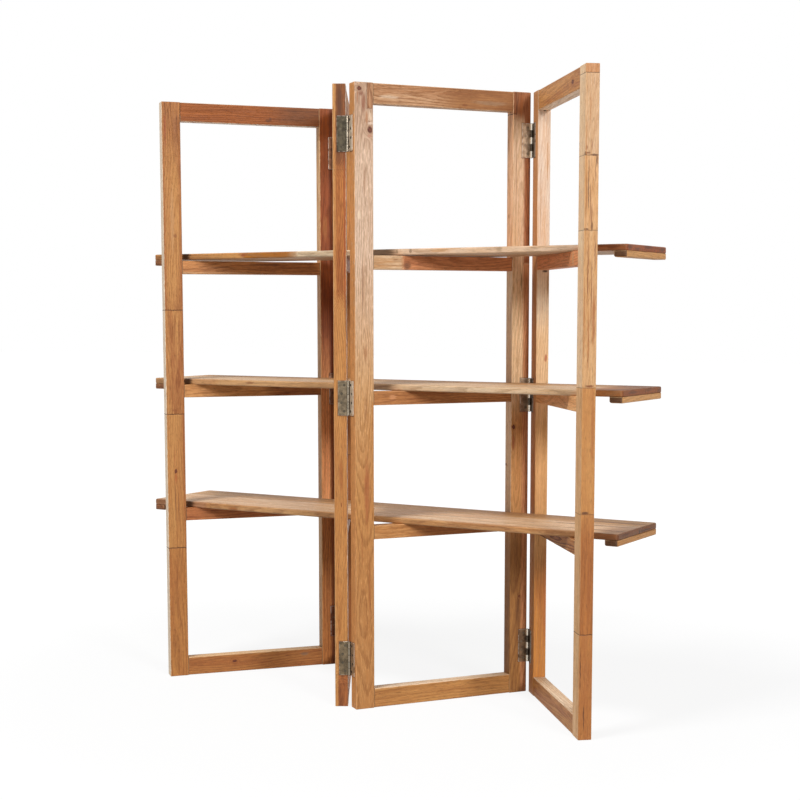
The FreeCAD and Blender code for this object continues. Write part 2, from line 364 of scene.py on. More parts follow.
# %% Colour of the long grain
LATE_TINT = (0.62, 0.58, 0.56, 1)
LIMED_TINT = (1.32, 1.36, 1.42, 1)


def long_grain(build, light, dark, late, noise, look):
    """The tones drift, then come dark ring lines with flecks, then pale limed streaks."""
    drift = (noise["broad"] - 0.5) * look["drift"]
    amount = drift + (noise["strand"] - 0.5) * 1.5 + (noise["fibre"] - 0.5) * 0.9 + 0.4
    colour = build.mix(amount.maths("ADD", amount, 0.0, clamp=True), light, dark)
    line = look["line"] or build.mix(1.0, dark, LATE_TINT, "MULTIPLY")
    limed = build.mix(1.0, light, LIMED_TINT, "MULTIPLY")
    fleck = noise["fleck"]
    lines = late * look["figure"] + fleck.fade(0.55, 0.7) * look["fleck"]
    colour = build.mix(lines, colour, line)
    return build.mix(fleck.fade(0.45, 0.32) * look["lime"], colour, limed)


# %% End grain, marks and knots
END_ROUND = {"stile": 1.0, "board": 5.0, "batten": 5.0}
END_TINT = (2.4, 2.2, 2.0, 1)


def end_grain(build, colour, kind, end_gap, noise, look):
    """Sawn ends are darker and speckled. Those of boards are worn a little way round the corner."""
    pale = build.mix(1.0, look["end"], END_TINT, "MULTIPLY")
    speck = noise["strand"].fade(0.44, 0.6) * 0.6 + noise["fibre"].fade(0.5, 0.7) * 0.3
    reach = END_ROUND[kind]
    return build.mix(end_gap.fade(reach, reach / 4) * 0.9, colour, build.mix(speck, look["end"], pale))


def add_marks(build, colour, place, noise, look):
    """Stains, cracks and swirls. The flecks fray their borders."""
    for spot, size, shade, strength in look["marks"]:
        frayed = blob(place, spot, size) + noise["fleck"] * 1.6 - 0.8
        colour = build.mix(frayed.fade(1.1, 0.45) * strength, colour, shade)
    return colour


def add_knots(build, colour, gaps, dark, noise):
    """A knot has a dark halo, a brown rim, a black-brown body and a redder middle."""
    halo, rim = (2.6, 1.2, 0.5, dark), (1.4, 0.7, 0.6, CHESTNUT)
    body, middle = (1.0, 0.75, 0.9, KNOT), (0.45, 0.15, 0.7, PITH)
    for gap in gaps:
        frayed = gap + noise["fleck"] * 1.2 - 0.6
        for start, end, strength, shade in (halo, rim, body, middle):
            colour = build.mix(frayed.fade(start, end) * strength, colour, shade)
    return colour


# %% The timber itself
GRAIN = {"stile": (0, 1, 2), "rail": (2, 1, 0), "board": (1, 2, 0), "batten": (0, 2, 1)}


def timber(build, place, kind, centre, half, look):
    """Colour, roughness and height of one member's wood."""
    order = GRAIN[kind]
    parts = build.vector("SUBTRACT", place, centre).parts()
    axes = [parts[k] for k in order]
    ragged = scatter(place, *RAGGED)
    light, dark, seam, shift = glue_up_and_paint_light(build, ragged, look)
    grain = [axis + shift * step for axis, step in zip(axes, BLOCK_SHIFT)]
    noise = all_streaks(build, grain, look["seed"])
    gaps = [blob(ragged, spot, size) for spot, size in look["knots"]]
    radius = push_aside(heart_distance(build, grain, look), gaps, look)
    late = late_wood(radius, noise["fibre"], shift, look)
    colour = long_grain(build, light, dark, late, noise, look)
    arris, end_gap = arris_gap(axes, [half[k] for k in order])
    if kind in END_ROUND:
        colour = end_grain(build, colour, kind, end_gap, noise, look)
    colour = add_marks(build, colour, ragged, noise, look)
    colour = add_knots(build, colour, gaps, dark, noise)
    pores = noise["pore"].fade(0.60, 0.70)
    colour = build.mix(pores * look["pores"], colour, UMBER)
    colour = build.mix(seam, colour, GLUE)
    worn = arris.fade(2.6, 0.5) * noise["broad"].fade(0.38, 0.62)
    colour = build.mix(worn * look["wear"], colour, look["worn"])
    height = noise["fibre"] * 0.5 + late * 0.2 - pores * 0.5 - seam
    rough = noise["fibre"] * 0.18 + late * 0.06 + 0.44
    return colour, rough, height


print("rings are", RING_WIDTH, "mm apart")

# %% [markdown]
# ## The recipes
# Every member was cut from a different old board, and it shows. Chance could deal out the tones, but
# it can't make one certain member the dark one. So each gets a recipe, as a joiner would note it. A
# block is (low corner, high corner, pale, dark, softness of its border, strength of the joint line,
# shift of the grain), a knot is (place, size) and a mark is (place, size, tone, strength). A tone is
# three numbers as a screen shows them, or a name. Some blocks and marks are painted light and shade
# rather than wood, and a comment says so where they stand.

# %% Recipe helpers
OUT = -400
TOP = FRAME_HEIGHT + 400
PLAIN = {
    "heart": (12.0, -34.0), "lean": (0.022, 0.012), "ring": RING_WIDTH, "drift": 2.2, "figure": 0.4,
    "fleck": 0.4, "lime": 0.3, "pores": 0.42, "wear": 0.4, "worn": CREAM, "line": None, "end": UMBER,
    "blocks": (), "knots": (), "marks": (),
}


def recipe(seed, light, dark, **rest):
    """One member's recipe. What it leaves out stays plain."""
    return {**PLAIN, "seed": seed, "light": light, "dark": dark, **rest}


def length(z0, z1, light, dark, line=0.8, shift=1.0, soft=0.8):
    """A glued length or a band of painted light, between two heights. Past the member a block just runs on.
    """
    return (OUT, OUT, z0), (TOP, TOP, z1), light, dark, soft, line, shift


def strip(x0, x1, light, dark, z0=OUT, z1=TOP, soft=2.0, line=0.0, shift=0.0, y0=OUT, y1=TOP):
    """A strip of another tone, between two distances from the frame's left edge."""
    return (x0, y0, z0), (x1, y1, z1), light, dark, soft, line, shift


def stretch(x0, x1, light, dark, soft=30.0, shift=0.0, z0=OUT, z1=TOP):
    """A stretch of a rail, between two distances from the frame's left edge."""
    return strip(x0, x1, light, dark, z0, z1, soft, 0.0, shift)


def on_front(deep, *marks, y=0):
    """Marks on a front face, each (x, z, width, height, tone, strength)."""
    return [((x, y, z), (wide, deep, high), *rest) for x, z, wide, high, *rest in marks]


def on_side(x, *marks, deep=9):
    """Marks on a side face, each (y, z, width, height, tone, strength)."""
    return [((x, y, z), (deep, wide, high), *rest) for y, z, wide, high, *rest in marks]


UPRIGHTS = {}
RAILS = {}
print("recipe entries:", *PLAIN)

# %% [markdown]
# ### Frame a
# The left upright is warm amber, with a knot and long fine cracks; its pale outer face is a painted
# sheen. The right one is redder, with a darker strip beside the hinge that is painted shade, and its
# inner edge is worn pale. A bevel could catch the light there, but it would touch the shape, so
# strips a millimetre or two wide paint that highlight.

# %% Frame a
UPRIGHTS["a_left"] = recipe(
    1.3, AMBER, CHESTNUT, heart=(6, -20), lean=(0.012, 0.03),
    blocks=[
        length(OUT, 414, (192, 130, 68), (170, 106, 54), 1, 1), length(414, 838, HONEY, AMBER, 0, 2),
        length(838, 1163, HONEY, RUSSET, 1, 3), length(1163, 1640, HONEY, AMBER, 0, 0, 90),
        strip(OUT, 7, AMBER, RUSSET, 1163, soft=3), strip(50, TOP, AMBER, RUSSET, 414, soft=4),
        # Painted sheen: the outer side face is pale, almost white.
        strip(OUT, 1.2, (250, 228, 200), LIME, soft=0.4),
    ],
    knots=[((27, 0, 659), (4, 12, 7))],
    marks=[
        *on_front(9, (36, 1392, 9, 7, CHESTNUT, 0.6)),
        *on_front(
            12, (24, 560, 1.6, 75, UMBER, 0.6), (34, 540, 1.4, 60, UMBER, 0.5),
            (18, 1100, 2, 60, RUSSET, 0.5),
        ),
        *on_front(9, (57, 1755, 1.4, 45, SOOT_AND_SHADE, 0.8)),
        *on_front(12, (27, 850, 9, 5, (140, 80, 40), 0.6)),
        *on_front(
            9, (10, 1720, 4, 60, (150, 62, 36), 0.5), (28, 1440, 7, 120, SAND, 0.35),
            (27, 640, 5, 24, (176, 96, 48), 0.7), (24, 700, 3, 30, (176, 100, 52), 0.4),
        ),
    ],
)
UPRIGHTS["a_right"] = recipe(
    2.1, (158, 80, 30), (120, 58, 20), heart=(-20, -18), lean=(0.03, 0.03), lime=0.25, fleck=0.3,
    blocks=[
        length(OUT, 1000, (255, 176, 114), (206, 134, 78), 0, 0, 120),
        length(OUT, 500, (212, 136, 72), (164, 98, 46), 0.3, 2, 8),
        # Painted shade: the strip beside the hinge is darker, where frame b's upright shades it.
        strip(535, TOP, (138, 68, 32), (104, 54, 28), 900, TOP, 5),
        strip(535, TOP, RUSSET, CHESTNUT, OUT, 900, 5), strip(OUT, 504.8, SAND, HONEY, soft=0.5),
        strip(OUT, 506, CREAM, HONEY, 300, 1700, 1.2),
    ],
    marks=on_front(9, (521, 1425, 9, 40, AMBER, 0.45), (545, 1500, 5, 60, RUSSET, 0.5)),
)
RAILS["a_top"] = recipe(
    1.1, (170, 94, 34), (138, 72, 24), worn=CREAM, wear=0.5, lime=0.15, fleck=0.25,
    blocks=[
        stretch(370, TOP, (152, 88, 42), (112, 66, 36), 60),
        # Painted light: the underside is paled to stand for light bounced up from the floor.
        stretch(OUT, TOP, (255, 246, 230), (255, 234, 206), 0.6, z1=1742.4),
    ],
    marks=on_front(9, (336, 1754, 11, 5, (86, 46, 26), 0.7), (344, 1760, 6, 5, (96, 52, 28), 0.7)),
)
# Painted light: the tones are paled, as the board above shades this rail.
RAILS["a_upper"] = recipe(
    1.9, (210, 142, 82), (162, 102, 56),
    marks=on_front(9, (330, 1306, 70, 4, UMBER, 0.6), (180, 1296, 60, 3, UMBER, 0.4)),
)
# Painted light: the tones are paled, as the board above shades this rail.
RAILS["a_middle"] = recipe(2.8, (220, 160, 98), AMBER, blocks=[stretch(335, TOP, AMBER, CHESTNUT)])
RAILS["a_lower"] = recipe(3.4, (190, 118, 66), (156, 86, 44))
RAILS["a_bottom"] = recipe(
    4.6, AMBER, RUSSET, blocks=[stretch(OUT, TOP, CREAM, SAND, 1.0, z0=56)],
    knots=[((209, 0, 35), (7, 12, 5))], marks=on_front(9, (444, 42, 16, 6, (130, 108, 88), 0.6)),
)
print("uprights:", *UPRIGHTS, "rails:", *RAILS)

# %% [markdown]
# ### Frame b
# It stands edge on, so its rails are hardly seen. They could have stains too, but those would be
# lost, so only the narrow face of the right upright has them.

# %% Frame b
UPRIGHTS["b_left"] = recipe(3.7, HONEY, RUSSET, blocks=[length(OUT, 700, AMBER, RUSSET)])
UPRIGHTS["b_right"] = recipe(
    4.2, AMBER, RUSSET, heart=(30, 14), lean=(0.01, 0.03),
    blocks=[
        length(1560, TOP, (144, 88, 48), (104, 60, 32), 0.2, 1, 30),
        length(1190, 1560, (192, 122, 62), (146, 80, 36), 0, 0, 60),
        length(95, 1190, HONEY, AMBER, 0.0, 2, 40), length(OUT, 95, (176, 108, 60), CHESTNUT, 0.3, 1, 6),
        strip(OUT, TOP, (206, 150, 90), AMBER, y1=9, soft=3),
        strip(561.4, TOP, CREAM, HONEY, y1=1.6, soft=0.6),
        # Painted light: the rear face is paled, as little light reaches it.
        strip(OUT, TOP, (255, 234, 214), (246, 212, 190), y0=37.4, soft=0.5),
        strip(0, TOP, HONEY, AMBER, 300, 1150, 6, y1=16),
    ],
    marks=on_side(
        562, (20, 1750, 8, 60, UMBER, 0.8), (33, 1400, 2, 330, (150, 70, 38), 0.8),
        (20, 690, 7, 55, RUSSET, 0.7), (20, 600, 3, 8, CHESTNUT, 0.7), (25, 1250, 3, 80, CHESTNUT, 0.5),
        (36, 1150, 2, 90, UMBER, 0.6),
    ),
)
RAILS["b_top"] = recipe(5.3, HONEY, RUSSET)
RAILS["b_upper"] = recipe(6.1, AMBER, RUSSET)
RAILS["b_middle"] = recipe(6.9, AMBER, CHESTNUT)
RAILS["b_lower"] = recipe(7.4, HONEY, RUSSET)
RAILS["b_bottom"] = recipe(8.2, AMBER, RUSSET)
print("uprights so far:", *UPRIGHTS)

# %% [markdown]
# ### Frame c
# The palest frame. Its left upright has two knots at the top, with a swirl of darker grain between
# them. The grain could be bent to run that way, but a chain of soft marks needs far less.

# %% Frame c
UPRIGHTS["c_left"] = recipe(
    5.4, (226, 196, 170), (208, 170, 138), heart=(2, -26), lean=(0.004, 0.05), ring=6.0, figure=0.5,
    fleck=0.4, lime=0.7, drift=1.4, pores=0.3,
    blocks=[
        length(1640, TOP, (204, 170, 142), (184, 144, 114), 0, 0, 60),
        length(OUT, 1130, SAND, HONEY, 0, 0, 260), length(OUT, 800, HONEY, AMBER, 0, 0, 220),
        length(OUT, 420, (194, 138, 82), AMBER, 0, 0, 200),
        strip(OUT, 0.8, (228, 160, 98), (200, 134, 74), soft=0.6),
        strip(39, TOP, (196, 146, 104), (146, 94, 60), 1728, TOP, 2, 0.4, 1),
        strip(50, TOP, HONEY, AMBER, 300, 900, 6),
    ],
    knots=[((15, 0, 1782), (7, 14, 6)), ((48, 0, 1669), (8, 14, 10))],
    marks=on_front(
        14, (21, 1769, 9, 10, (136, 84, 62), 0.8), (28, 1744, 7, 32, (150, 96, 70), 0.8),
        (38, 1700, 4, 26, (180, 124, 84), 0.8), (46, 1690, 4, 6, (140, 80, 60), 0.8),
        (49, 1686, 9, 5, (250, 226, 204), 0.9), (47, 1652, 8, 5, (196, 128, 106), 0.7),
        (14, 1430, 7, 14, LIME, 0.8), (33, 883, 7, 50, CHESTNUT, 0.3),
        (36, 640, 9, 110, (166, 92, 50), 0.7), (33, 1040, 7, 24, RUSSET, 0.4),
        (20, 480, 3, 80, RUSSET, 0.5), (44, 360, 3, 110, RUSSET, 0.5),
        (24, 1230, 2.6, 90, (150, 104, 74), 0.7), (10, 1760, 3, 24, RUSSET, 0.6),
        (48, 1707, 5, 20, LIME, 0.6), (30, 1520, 4, 60, (168, 122, 92), 0.5),
    ),
)
UPRIGHTS["c_right"] = recipe(
    6.6, ROSE, SAND, drift=1.4, pores=0.3, heart=(-10, -26), lean=(0.03, 0.04),
    blocks=[
        # Painted light: below 1310 the upright is paled where the boards shade it.
        length(OUT, 1310, (255, 224, 180), (222, 174, 122), 0, 0, 60),
        length(OUT, 880, (220, 164, 104), (192, 132, 74), 0, 0, 60),
        length(OUT, 480, (184, 128, 70), (138, 88, 46), 0, 0, 60),
        length(1725, TOP, (178, 118, 76), CHESTNUT, 0, 0, 20),
        strip(OUT, 515, (150, 92, 54), CHESTNUT, 1735, TOP, 0.8, 0.9, 1),
        # Painted shade and light: beside the hinge the strip is darker above 1300, where frame d's upright
        # shades it, and paled below, where the boards shade it.
        strip(541, TOP, (170, 108, 68), CHESTNUT, 1300, TOP, 5),
        strip(541, TOP, (220, 156, 108), (172, 106, 62), OUT, 1300, 5),
        # Painted light and shade: the inner side face is paled below 1310, where the upper board shades it,
        # and darker above.
        strip(OUT, 504.8, (252, 206, 164), (232, 170, 122), 1310, TOP, 0.6),
        strip(OUT, 504.8, (255, 230, 194), (255, 212, 172), 500, 1310, 0.6),
    ],
    knots=[((512, 0, 814), (5, 14, 7)), ((535, 0, 298), (3.4, 14, 4)), ((504, 32, 700), (14, 3, 4))],
    marks=[
        *on_front(
            14, (512, 770, 7, 30, (150, 78, 44), 0.7), (532, 250, 9, 60, UMBER, 0.5),
            (523, 470, 9, 90, UMBER, 0.2), (535, 1249, 2.5, 30, UMBER, 0.7),
        ),
        *on_side(504, (24, 1440, 3, 9, CHESTNUT, 0.7), (31, 190, 4, 12, CHESTNUT, 0.7), deep=14),
        *on_front(14, (515, 1560, 2, 130, (150, 98, 64), 0.5)),
        *on_front(9, (530, 1760, 8, 40, RUSSET, 0.6)),
    ],
)
RAILS["c_top"] = recipe(
    9.3, (206, 162, 122), (176, 120, 76), heart=(-2, -24), lean=(0.02, 0.08), ring=8.0, figure=0.7,
    line=(146, 96, 56), fleck=0.6,
    blocks=[
        stretch(280, TOP, (174, 120, 70), (142, 88, 48), 60),
        # Painted light: the underside is paled to stand for light bounced up from the floor.
        stretch(OUT, TOP, LIME, CREAM, 0.6, z1=1742.4),
    ],
    marks=on_front(
        9, (346, 1752, 10, 6, CHESTNUT, 0.6), (430, 1762, 60, 8, (160, 132, 104), 0.5),
        (110, 1763, 40, 5, LIME, 0.5),
    ),
)
RAILS["c_upper"] = recipe(
    10.2, (222, 148, 96), (176, 106, 62), lean=(0.06, 0.05),
    blocks=[stretch(OUT, 150, (222, 188, 150), (194, 142, 92), 8, 1.0)],
    marks=on_front(9, (163, 1290, 14, 13, UMBER, 0.75), y=1),
)
RAILS["c_middle"] = recipe(
    11.5, (204, 140, 82), (160, 98, 48),
    marks=on_front(9, (118, 912, 14, 9, (216, 152, 104), 0.6), (118, 904, 12, 2, CHESTNUT, 0.6)),
)
RAILS["c_lower"] = recipe(12.4, (212, 156, 96), AMBER, blocks=[stretch(200, TOP, AMBER, RUSSET, 60)])
RAILS["c_bottom"] = recipe(13.7, HONEY, AMBER, ring=9.0, blocks=[stretch(OUT, TOP, LIME, SAND, 1.0, z0=56)])
print("uprights so far:", *UPRIGHTS)

# %% [markdown]
# ### Frame d
# The right upright's narrow face is nearest to the eye and the most marked: several glued lengths and
# thin dark cracks. Cracks could be cut into the mesh, but they are hair thin, so long narrow marks
# along the grain draw them.

# %% Frame d
UPRIGHTS["d_left"] = recipe(
    7.9, (230, 206, 184), (222, 180, 142), heart=(26, 60), figure=0.25, fleck=0.2, pores=0.2,
    lean=(0.01, 0.05), line=(186, 128, 90),
    blocks=[
        length(OUT, 1270, (252, 212, 162), (230, 180, 126), 0, 0, 60),
        # Painted light: the band from 1130 to 1275 is paled where the upper board shades it.
        length(1130, 1275, (255, 232, 200), (246, 208, 166), 0, 0, 60),
        length(OUT, 900, (240, 184, 122), HONEY, 0, 0, 100),
        length(OUT, 420, (216, 142, 66), (166, 94, 38), 0, 0, 100),
        strip(OUT, 56.8, (206, 148, 96), AMBER, soft=0.8),
    ],
    marks=on_side(
        58, (30, 1022, 5, 13, (190, 100, 62), 0.8), (20, 1743, 8, 5, SOOT_AND_SHADE, 0.9),
        (25, 1277, 9, 4, SOOT_AND_SHADE, 0.9), (30, 1600, 2, 90, AMBER, 0.7), (34, 1240, 3, 45, AMBER, 0.7),
        (10, 1500, 2, 160, AMBER, 0.5), (32, 300, 6, 200, (186, 104, 54), 0.5),
    ),
)
UPRIGHTS["d_right"] = recipe(
    8.8, (216, 178, 140), (198, 152, 104), drift=1.2, figure=0.18, heart=(110, 20), lean=(0.004, 0.004),
    ring=6.0, line=(176, 116, 70),
    blocks=[
        length(OUT, 1371, SAND, HONEY, 0.5, 2), length(OUT, 957, HONEY, AMBER, 0.5, 1),
        length(OUT, 618, HONEY, AMBER, 0.5, 2), length(OUT, 600, (180, 112, 54), (138, 78, 34), 0, 0, 60),
        length(OUT, 291, AMBER, RUSSET, 0.9, 3), length(1371, 1565, (222, 176, 128), HONEY, 0.5, 4),
        length(1776, TOP, (206, 150, 104), AMBER, 0.6, 5),
        strip(OUT, 560, (255, 224, 182), (240, 194, 146), 957, TOP, 1.5),
        strip(OUT, 560, (242, 200, 150), HONEY, OUT, 957, 1.5),
    ],
    marks=[
        *on_side(
            562, (2, 1568, 3, 6, UMBER, 0.9), (8, 1571, 7, 3, CHESTNUT, 0.8), (26, 1566, 12, 3, UMBER, 0.8),
            (33, 1552, 3, 20, UMBER, 0.8), (5, 1584, 4, 8, CHESTNUT, 0.6), (19, 1590, 2, 14, CHESTNUT, 0.6),
            (11, 1490, 1.5, 70, UMBER, 0.9), (16, 1440, 1.4, 60, CHESTNUT, 0.8),
            (29, 1520, 1.6, 30, CHESTNUT, 0.6), (6, 1460, 1.6, 60, CHESTNUT, 0.6),
            (20, 1410, 2, 40, CHESTNUT, 0.7), (6, 1374, 8, 3, UMBER, 0.8), (22, 1382, 4, 14, UMBER, 0.7),
            (12, 1265, 2, 110, CHESTNUT, 0.8), (22, 1200, 1.8, 120, CHESTNUT, 0.7),
            (31, 1310, 1.8, 60, CHESTNUT, 0.7), (29, 1142, 5, 95, RUSSET, 0.7),
            (15, 1080, 3, 90, RUSSET, 0.6), (20, 962, 14, 4, CHESTNUT, 0.9), (12, 622, 14, 4, UMBER, 0.9),
            (30, 850, 5, 120, RUSSET, 0.6), (4, 195, 1.6, 60, UMBER, 1), (15, 60, 1.8, 45, UMBER, 0.9),
            (26, 420, 7, 110, RUSSET, 0.5), (14, 1690, 1.8, 60, AMBER, 0.7),
            (4, 1500, 1.8, 260, AMBER, 0.7),
        ),
        *on_front(9, (553, 1450, 1.6, 330, AMBER, 0.6)),
        *on_side(562, (3, 1120, 1.8, 150, RUSSET, 0.7)),
    ],
)
RAILS["d_top"] = recipe(
    14.9, (216, 156, 92), (176, 110, 62), lean=(0.05, 0.02), figure=0.35,
    # Painted light: the underside is paled to stand for light bounced up from the floor.
    blocks=[stretch(OUT, TOP, (255, 232, 206), CREAM, 1.0, z1=1743)], knots=[((430, 0, 1770), (12, 12, 7))],
)
# Painted light: the tones are paled, as the board above shades this rail.
RAILS["d_upper"] = recipe(
    15.6, (244, 162, 106), (208, 132, 84), marks=on_front(9, (452, 1300, 9, 22, SAND, 0.7)),
)
# Painted light: the tones are paled, as the board above shades this rail.
RAILS["d_middle"] = recipe(16.3, (255, 196, 132), (222, 152, 92))
RAILS["d_lower"] = recipe(
    17.1, HONEY, RUSSET, lean=(0.07, 0.02), heart=(4, -16), figure=0.9, line=(104, 58, 32), ring=9.0,
)
RAILS["d_bottom"] = recipe(18.5, HONEY, RUSSET, blocks=[stretch(OUT, TOP, LIME, SAND, 1.0, z0=56)])
print("all", len(UPRIGHTS), "uprights and", len(RAILS), "rails")

# %% [markdown]
# ## Frame members
# Where rails meet the uprights a dark line is painted, a painted contact shadow, and round each hinge
# leaf the wood is painted red-brown, partly rubbing and partly painted shade at the leaf's edge. Both
# could be painted on an unwrapped mesh, but worked out from the sizes of the joints and hinges they
# stay where they belong.

# %% Wood finish on a piece
HINGE_HEIGHTS = (145, 910, 1660)
LEAF = (30, 100)
LEAF_SEATS = {
    "a_right": (533, 563, -1, 1), "b_left": (-1, 29, -1, 1), "b_right": (561, 563, 12, 44),
    "c_left": (-1, 1, 12, 44), "c_right": (533, 563, -1, 1), "d_left": (-1, 29, -1, 1),
}
RUB_AND_SHADE_TONE = (92, 48, 32)
RUB_AND_SHADE_REACH = (3.2, 0.3)
WOOD_SHINE = 0.3
WOOD_BUMP = {"Distance": 0.0006, "Strength": 0.7}


def rub_and_shade(build, place, colour, seat):
    """Red-brown round an upright's three leaves: partly rubbing, partly painted shade at their edges."""
    x0, x1, y0, y1 = seat
    reach = LEAF[1] / 2
    gaps = [box_depth(place, (x0, y0, z - reach), (x1, y1, z + reach)) for z in HINGE_HEIGHTS]
    nearest = gaps[0].maths("MINIMUM", gaps[0].maths("MINIMUM", gaps[0], gaps[1]), gaps[2])
    return build.mix(nearest.fade(*RUB_AND_SHADE_REACH) * 0.65, colour, RUB_AND_SHADE_TONE)


def put_on(piece, material):
    piece.data.materials.clear()
    piece.data.materials.append(material)


def dress(name, material, shader, colour, rough, height):
    """Oiled wood on one piece of the model."""
    shader.inputs["Specular IOR Level"].default_value = WOOD_SHINE
    link(shader, "Base Color", colour)
    link(shader, "Roughness", rough)
    link(shader, "Normal", colour.node("ShaderNodeBump", None, {"Height": height, **WOOD_BUMP}))
    put_on(NODES[name], material)


# %% Finish the uprights
def finish_upright(letter, side):
    name = f"frame_{letter}_{side}_stile"
    member = f"{letter}_{side}"
    material, shader, build = new_material(name)
    place = own_place(build, *FRAMES[letter])
    x = STILE[0] / 2 if side == "left" else FRAME_WIDTH - STILE[0] / 2
    centre = (x, STILE[1] / 2, FRAME_HEIGHT / 2)
    half = (STILE[0] / 2, STILE[1] / 2, FRAME_HEIGHT / 2)
    colour, rough, height = timber(build, place, "stile", centre, half, UPRIGHTS[member])
    if member in LEAF_SEATS:
        colour = rub_and_shade(build, place, colour, LEAF_SEATS[member])
    dress(name, material, shader, colour, rough, height)


for letter in FRAMES:
    for side in ("left", "right"):
        finish_upright(letter, side)
print("finished", len(UPRIGHTS), "uprights")

# %% Finish the rails
RAIL_HEIGHTS = {"bottom": 29.5, "lower": 520, "middle": 910, "upper": 1300, "top": 1770.5}
HALF_END_RAIL = 28.5
HALF_SHELF_RAIL = 20
SHOULDER_SHADE_REACH = (2.0, 0.4)


def finish_rail(letter, level):
    end_rail = level in ("top", "bottom")
    name = f"frame_{letter}_{level}_rail" if end_rail else f"frame_{letter}_{level}_shelf_rail"
    material, shader, build = new_material(name)
    place = own_place(build, *FRAMES[letter])
    centre = (FRAME_WIDTH / 2, STILE[1] / 2, RAIL_HEIGHTS[level])
    half = (RAIL_LENGTH / 2, STILE[1] / 2 - 1, HALF_END_RAIL if end_rail else HALF_SHELF_RAIL)
    colour, rough, height = timber(build, place, "rail", centre, half, RAILS[f"{letter}_{level}"])
    x = place.parts()[0]
    shoulder = RAIL_LENGTH / 2 - x.maths("ABSOLUTE", x - FRAME_WIDTH / 2)
    # Painted contact shadow: the rail darkens towards its ends, where it meets the uprights.
    colour = build.mix(shoulder.fade(*SHOULDER_SHADE_REACH) * 0.7, colour, SOOT_AND_SHADE)
    dress(name, material, shader, colour, rough, height)


for letter in FRAMES:
    for level in RAIL_HEIGHTS:
        finish_rail(letter, level)
print("finished", len(RAILS), "rails")

# %% [markdown]
# ## Boards and battens
# A board is glued from two planks, and its front edge from several lengths. The edge could be a strip
# of its own, but on the model it is one piece with the board, so blocks that end just behind the edge
# give it its tones; the last one, at the right end, is a painted shadow. Places are in the room's own
# millimetres, because the boards lie along x.

# %% Board helpers
PAST = 1200
EDGE = -130
BOARDS = {}


def front(x0, x1, light, dark, soft=6.0, shift=1.0):
    """A length of a board's front edge and a little wood behind it: glued wood, or at the right end painted
    shadow.
    """
    return (x0, -PAST, OUT), (x1, EDGE + 5, TOP), light, dark, soft, 0.0, shift


def on_top(z, *marks, deep=9):
    """Marks on a top face, each (x, y, length, width, tone, strength)."""
    return [((x, y, z), (long, wide, deep), *rest) for x, y, long, wide, *rest in marks]


# %% Upper board
BOARDS["upper"] = recipe(
    21.0, ASH, HONEY, lime=0.2, wear=0.15, figure=0.35, fleck=0.35, end=(118, 56, 18), heart=(30, 40),
    lean=(0.02, 0.02), line=(140, 104, 72),
    blocks=[
        front(-PAST, -450, (206, 148, 84), RUSSET), front(-450, -250, (176, 110, 34), (152, 86, 22)),
        front(-250, 0, (255, 240, 206), (252, 212, 168), 45, 0),
        front(0, 700, (224, 192, 162), (214, 172, 130)),
        # Painted shadow: past x 700 the front edge is darker, where frame d's near upright shades it.
        front(700, PAST, (148, 82, 36), (112, 58, 26), shift=3),
        ((806, -20, OUT), (PAST, PAST, TOP), CHESTNUT, UMBER, 30, 0, 0),
    ],
    marks=[
        # Painted shadows: the dark patches at x -670 and 45 lie where frame a's and frame c's left uprights
        # shade the edge.
        *on_front(
            9, (-670, 1329, 22, 18, SOOT_AND_SHADE, 0.85), (45, 1329, 60, 18, SOOT_AND_SHADE, 0.7),
            (-449, 1330, 9, 5, (150, 74, 40), 0.9), (-449, 1332, 22, 8, RUSSET, 0.5),
            (145, 1331, 5, 8, UMBER, 0.6), (100, 1331, 3, 8, (150, 124, 96), 0.8),
            (240, 1331, 40, 5, HONEY, 0.5), (430, 1331, 10, 8, (150, 124, 96), 0.6), y=EDGE,
        ),
        *on_side(
            812, (-112, 1330, 18, 8, UMBER, 0.8), (-60, 1326, 26, 5, UMBER, 0.6),
            (20, 1333, 40, 5, (80, 42, 24), 0.7), (120, 1330, 22, 8, UMBER, 0.8),
        ),
        *on_front(9, (770, 1330, 24, 4, (96, 50, 26), 0.7), (735, 1334, 18, 4, (96, 50, 26), 0.6), y=EDGE),
    ],
)
print("boards:", *BOARDS)

# %% Middle board
BOARDS["middle"] = recipe(
    23.0, ASH, SAND, lime=0.2, wear=0.15, figure=0.4, fleck=0.4, end=(112, 62, 28), heart=(20, 30),
    lean=(0.02, 0.02), line=(150, 110, 76),
    blocks=[
        front(-PAST, -560, (198, 138, 76), RUSSET, 20), front(-560, -100, (202, 150, 94), HONEY, 20),
        front(-100, 700, (216, 190, 158), SAND, 20),
        # Painted shadow: past x 700 the front edge is darker, where frame d's near upright shades it.
        front(700, PAST, (138, 78, 36), (102, 56, 28), shift=3),
        ((-PAST, 30, OUT), (PAST, PAST, TOP), SAND, HONEY, 1, 0.8, 4),
        ((690, -PAST, OUT), (PAST, PAST, TOP), (172, 112, 62), (118, 68, 34), 30, 0, 0),
    ],
    marks=[
        # Painted shadows: the dark patches at x -670 and 40 lie where frame a's and frame c's left uprights
        # shade the edge.
        *on_front(
            9, (-670, 939, 22, 18, SOOT_AND_SHADE, 0.85), (40, 939, 50, 18, UMBER, 0.5),
            (-428, 941, 18, 5, CHESTNUT, 0.6), y=EDGE,
        ),
        *on_side(
            805, (-60, 940, 40, 5, UMBER, 0.7), (60, 943, 30, 5, UMBER, 0.6), (130, 938, 16, 8, UMBER, 0.7),
        ),
        *on_top(
            948, (760, -60, 40, 5, CHESTNUT, 0.8), (740, 20, 70, 6, CHESTNUT, 0.8),
            (770, 90, 50, 6, CHESTNUT, 0.8),
        ),
    ],
)
print("boards:", *BOARDS)

